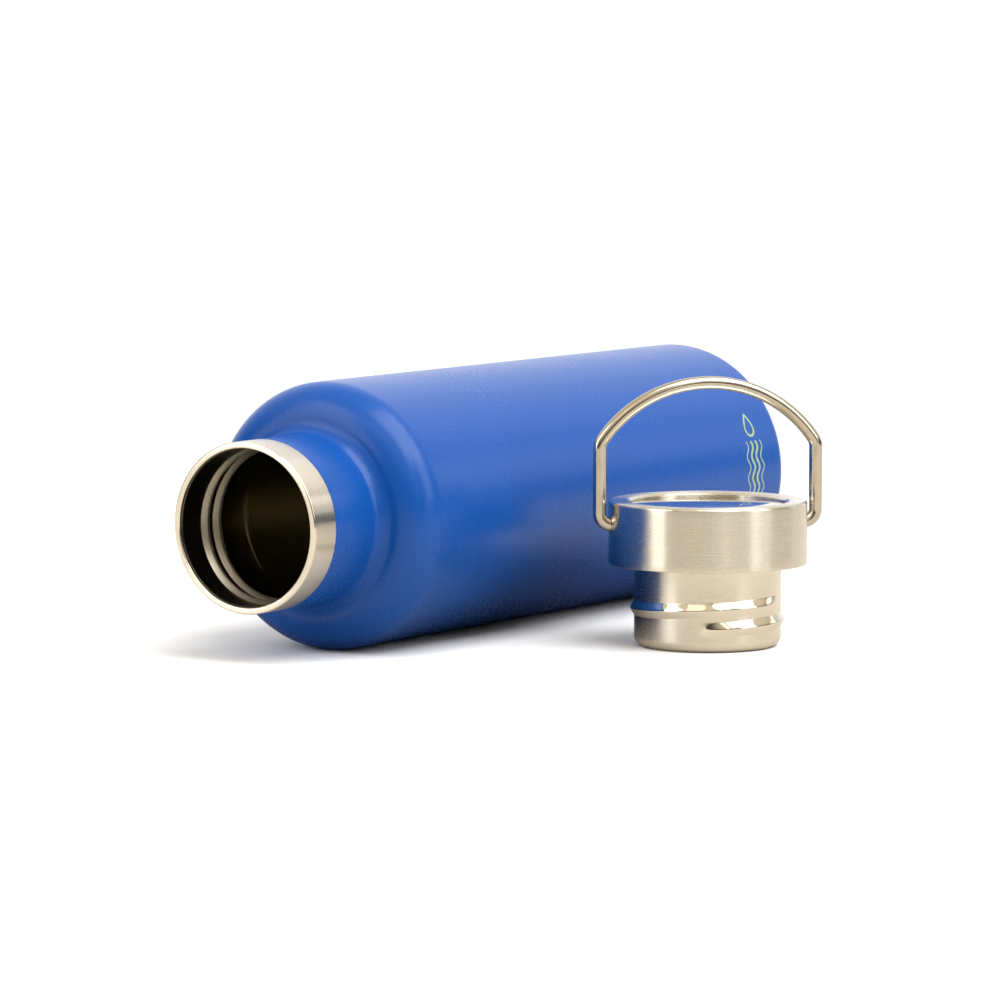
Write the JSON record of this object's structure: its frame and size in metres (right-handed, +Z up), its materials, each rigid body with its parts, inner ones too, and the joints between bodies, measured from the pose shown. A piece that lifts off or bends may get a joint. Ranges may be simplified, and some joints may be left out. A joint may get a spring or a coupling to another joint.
{
  "type": "water bottle",
  "caption": "Double-wall steel water bottle with a blue powder-coated body, lying on its side, with its screw cap and wire carrying handle standing beside it.",
  "frame": {"origin": "under the middle of the whole arrangement's box, on the surface that the bottle lies on", "axes": "+X along the lying bottle from its mouth to its base, +Z up; the loose cap stands on the -Y side"},
  "size_m": [0.2252, 0.1442, 0.0737],
  "materials": {
    "blue_coat": "satin powder coat with a fine orange-peel texture",
    "brushed_steel": "brushed round the axis, satin",
    "polished_steel": "polished",
    "mirror_steel": "mirror polished",
    "plain_steel": "plain mill finish, electro-polished inside",
    "copper_foil": "bright thin foil",
    "getter_alloy": "matt sintered",
    "solder": "dull",
    "core_plastic": "moulded matt",
    "foam": "closed-cell foam",
    "silicone": "soft matt silicone",
    "print": "thin printed mark"
  },
  "bodies": {
    "bottle": {"outer_shell": "blue_coat", "neck_collar": "brushed_steel", "inner_flask": "plain_steel", "inner_bottom": "plain_steel", "copper_foil": "copper_foil", "outer_base": "plain_steel", "seal_bead": "solder", "getter_pill": "getter_alloy", "getter_clip": "plain_steel", "base_cover": "brushed_steel"},
    "seal": {"seal_ring": "silicone"},
    "cap": {"lid_shell": "brushed_steel", "top_disc": "mirror_steel", "lid_core": "core_plastic", "plug_cup": "brushed_steel", "foam_insert": "foam"},
    "handle": {"bail": "polished_steel"}
  },
  "joints": [
    {"name": "cap_lift", "type": "slide", "parent": "bottle", "child": "seal", "axis": [0, 0, 1], "range_m": [0, 0.12]},
    {"name": "cap_turn", "type": "hinge", "parent": "seal", "child": "cap", "pos_m": [-0.00825, -0.04492, 0], "axis": [0, 0, 1], "continuous": true},
    {"name": "bail_swing", "type": "hinge", "parent": "cap", "child": "handle", "pos_m": [-0.00825, -0.04492, 0.0335], "axis": [0.6884, -0.7254, 0], "range_deg": [-140, 140]}
  ]
}
